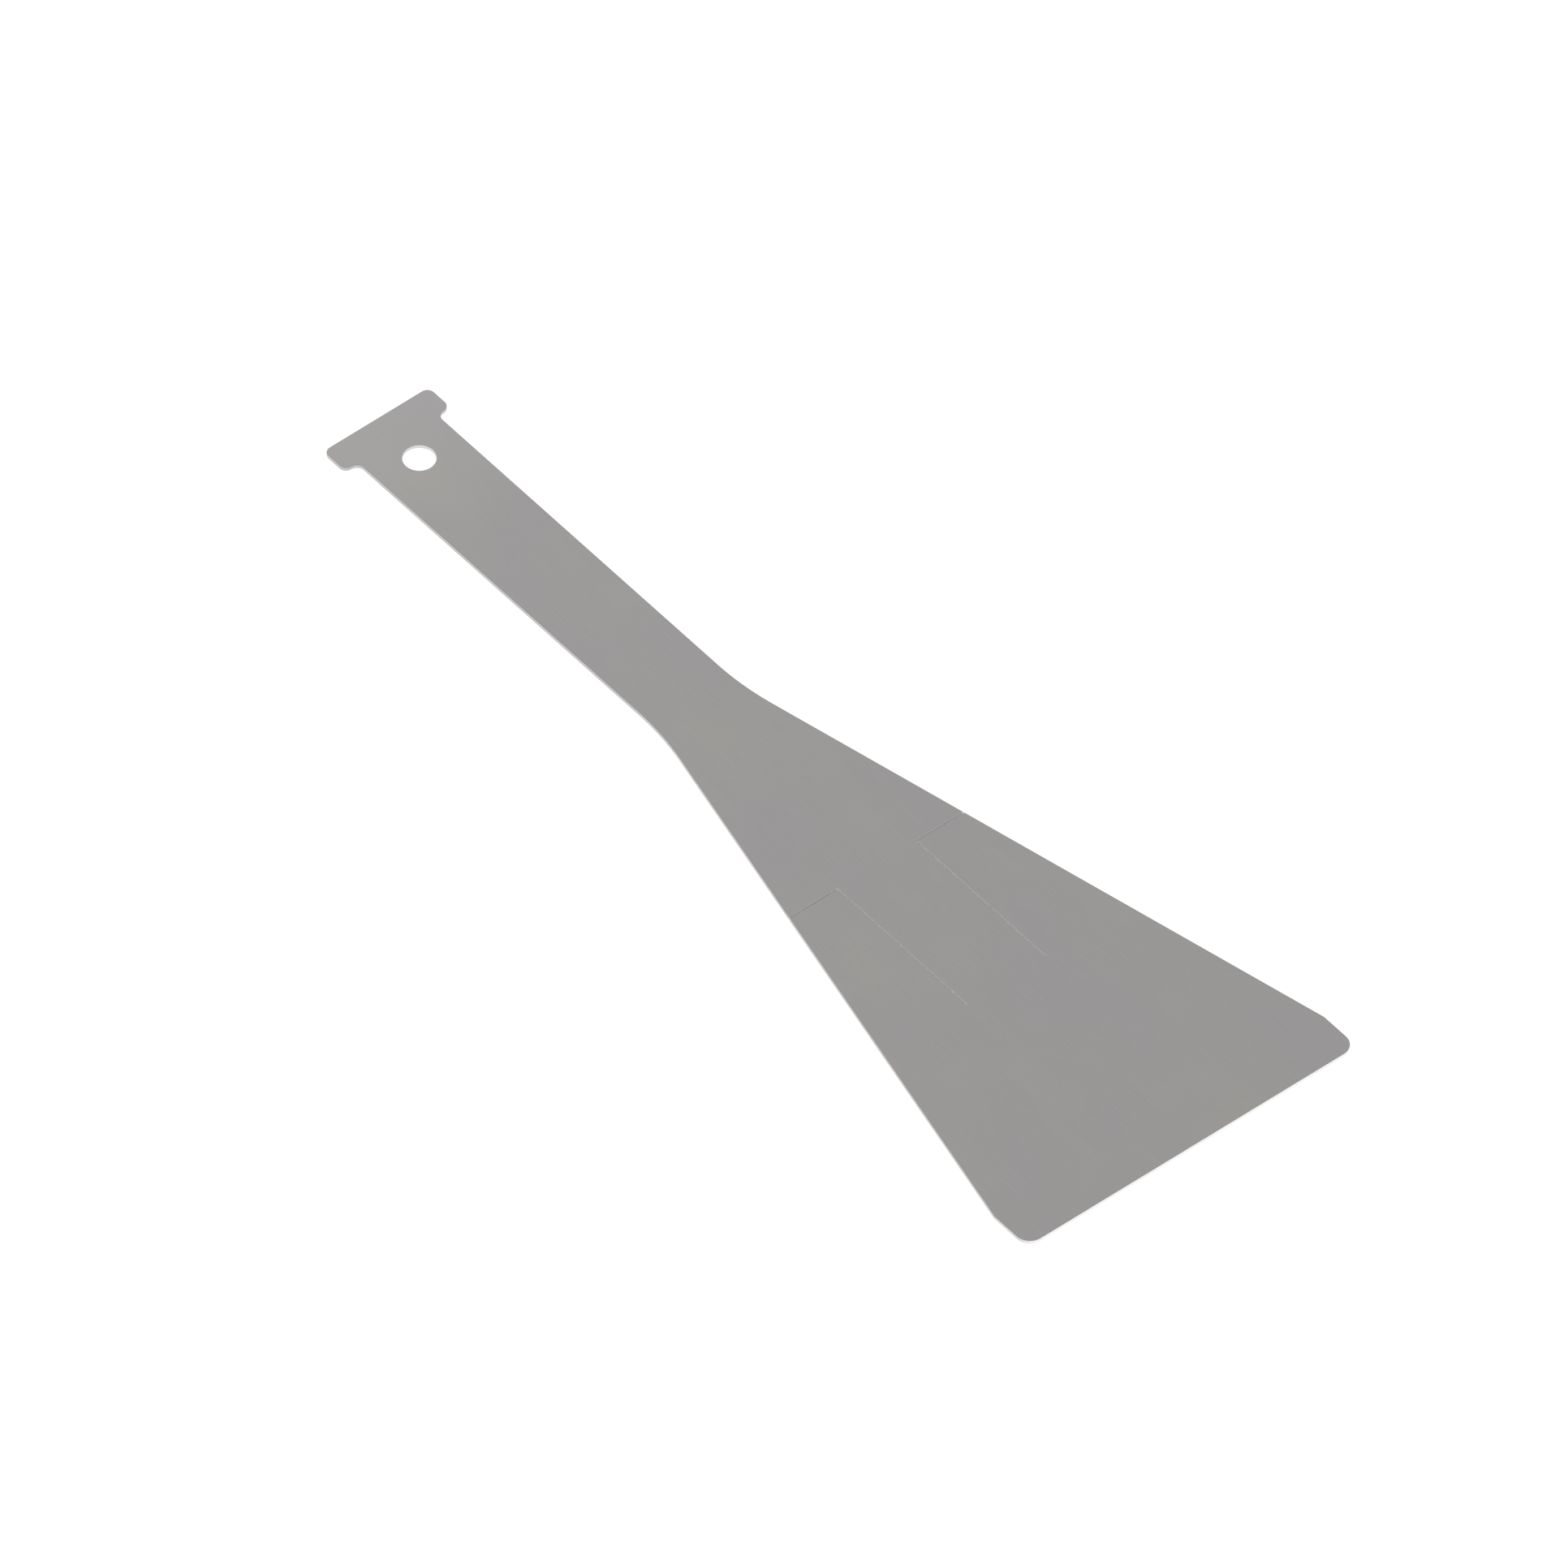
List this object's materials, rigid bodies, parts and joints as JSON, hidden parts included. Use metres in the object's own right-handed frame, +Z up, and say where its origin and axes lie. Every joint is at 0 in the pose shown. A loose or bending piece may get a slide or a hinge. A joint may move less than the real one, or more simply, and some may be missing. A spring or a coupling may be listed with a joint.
{
  "type": "spudger",
  "caption": "Flat sheet-steel spudger: T-shaped head with a hanging hole, slim handle, wide thin blade with L-shaped cuts that free a centre tongue and side tabs.",
  "frame": {"origin": "middle of the underside of the bounding box", "axes": "+X along the tool towards the blade's tip, +Y to the left, +Z up, square to the sheet"},
  "size_m": [0.15, 0.05, 0.0005],
  "materials": {
    "stainless_sheet": "cold-rolled satin, laser-cut edges"
  },
  "bodies": {
    "blade": {"blade": "stainless_sheet"},
    "handle": {"handle": "stainless_sheet"},
    "left_tab": {"left_tab": "stainless_sheet"},
    "right_tab": {"right_tab": "stainless_sheet"}
  },
  "joints": [
    {"name": "handle_flex", "type": "hinge", "parent": "blade", "child": "handle", "pos_m": [0.029, 0, 0.00025], "axis": [0, 1, 0], "range_deg": [-15, 15], "stiffness_Nm_per_rad": 0.99},
    {"name": "left_tab_flex", "type": "hinge", "parent": "blade", "child": "left_tab", "pos_m": [0.033, 0.0115, 0.00025], "axis": [0, 1, 0], "range_deg": [-15, 15], "stiffness_Nm_per_rad": 1.17},
    {"name": "right_tab_flex", "type": "hinge", "parent": "blade", "child": "right_tab", "pos_m": [0.033, -0.0115, 0.00025], "axis": [0, 1, 0], "range_deg": [-15, 15], "stiffness_Nm_per_rad": 1.17}
  ]
}
